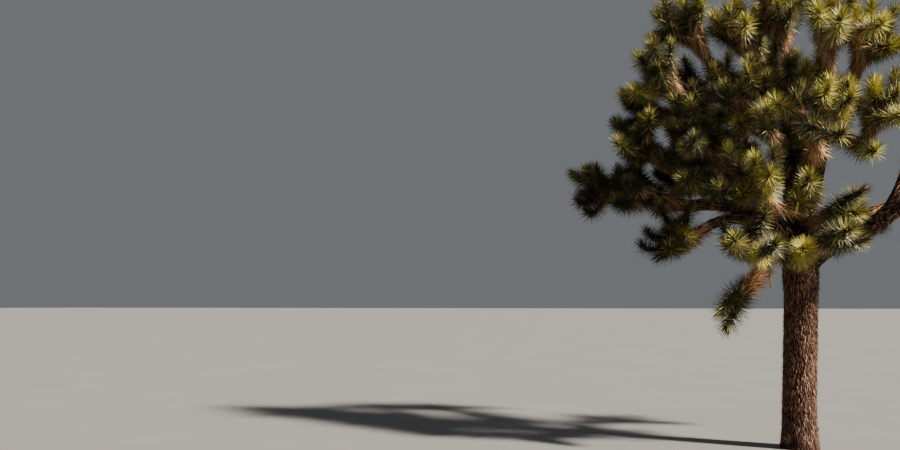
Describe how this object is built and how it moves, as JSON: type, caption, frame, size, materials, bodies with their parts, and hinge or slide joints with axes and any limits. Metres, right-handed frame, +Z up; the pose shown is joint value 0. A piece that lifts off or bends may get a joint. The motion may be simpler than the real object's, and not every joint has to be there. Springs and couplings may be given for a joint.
{
  "type": "joshua tree",
  "caption": "Desert tree with a stout furrowed trunk, forking shaggy boughs and a wide round crown of stiff bayonet leaves in brush-like heads.",
  "frame": {"origin": "middle of the flat cut under the trunk, at ground level", "axes": "+Z up, +X to the viewer's right in the picture, +Y away from the viewer"},
  "size_m": [5.3806, 3.5823, 6.0671],
  "materials": {
    "bark": "rough furrowed bark",
    "leaf": "stiff matt leaf"
  },
  "bodies": {
    "root": {"trunk": "bark", "bough_back": "bark", "bough_back_left": "bark", "bough_back_right": "bark", "bough_back_top": "bark", "bough_centre": "bark", "bough_centre_front": "bark", "bough_front": "bark", "bough_front_crown": "bark", "bough_front_high": "bark", "bough_front_low": "bark", "bough_left": "bark", "bough_left_drop": "bark", "bough_left_high": "bark", "bough_left_long": "bark", "bough_left_lower": "bark", "bough_left_mid": "bark", "bough_left_rise": "bark", "bough_left_upper": "bark", "bough_main": "bark", "bough_right": "bark", "bough_right_crown": "bark", "bough_right_high": "bark", "bough_right_out": "bark", "bough_right_up": "bark", "bough_top": "bark", "bough_top_far_left": "bark", "bough_top_left": "bark", "leaves_back": "leaf", "leaves_back_left": "leaf", "leaves_back_right": "leaf", "leaves_back_top": "leaf", "leaves_centre": "leaf", "leaves_centre_front": "leaf", "leaves_fork": "leaf", "leaves_front": "leaf", "leaves_front_crown": "leaf", "leaves_front_high": "leaf", "leaves_front_low": "leaf", "leaves_left_arm": "leaf", "leaves_left_back": "leaf", "leaves_left_drop": "leaf", "leaves_left_front": "leaf", "leaves_left_high": "leaf", "leaves_left_long": "leaf", "leaves_left_lower": "leaf", "leaves_left_mid": "leaf", "leaves_left_upper": "leaf", "leaves_low": "leaf", "leaves_main_front": "leaf", "leaves_right_crown": "leaf", "leaves_right_front": "leaf", "leaves_right_high": "leaf", "leaves_right_mid": "leaf", "leaves_right_out": "leaf", "leaves_right_up": "leaf", "leaves_top": "leaf", "leaves_top_far_left": "leaf", "leaves_top_left": "leaf", "leaves_top_left_back": "leaf"}
  },
  "joints": []
}
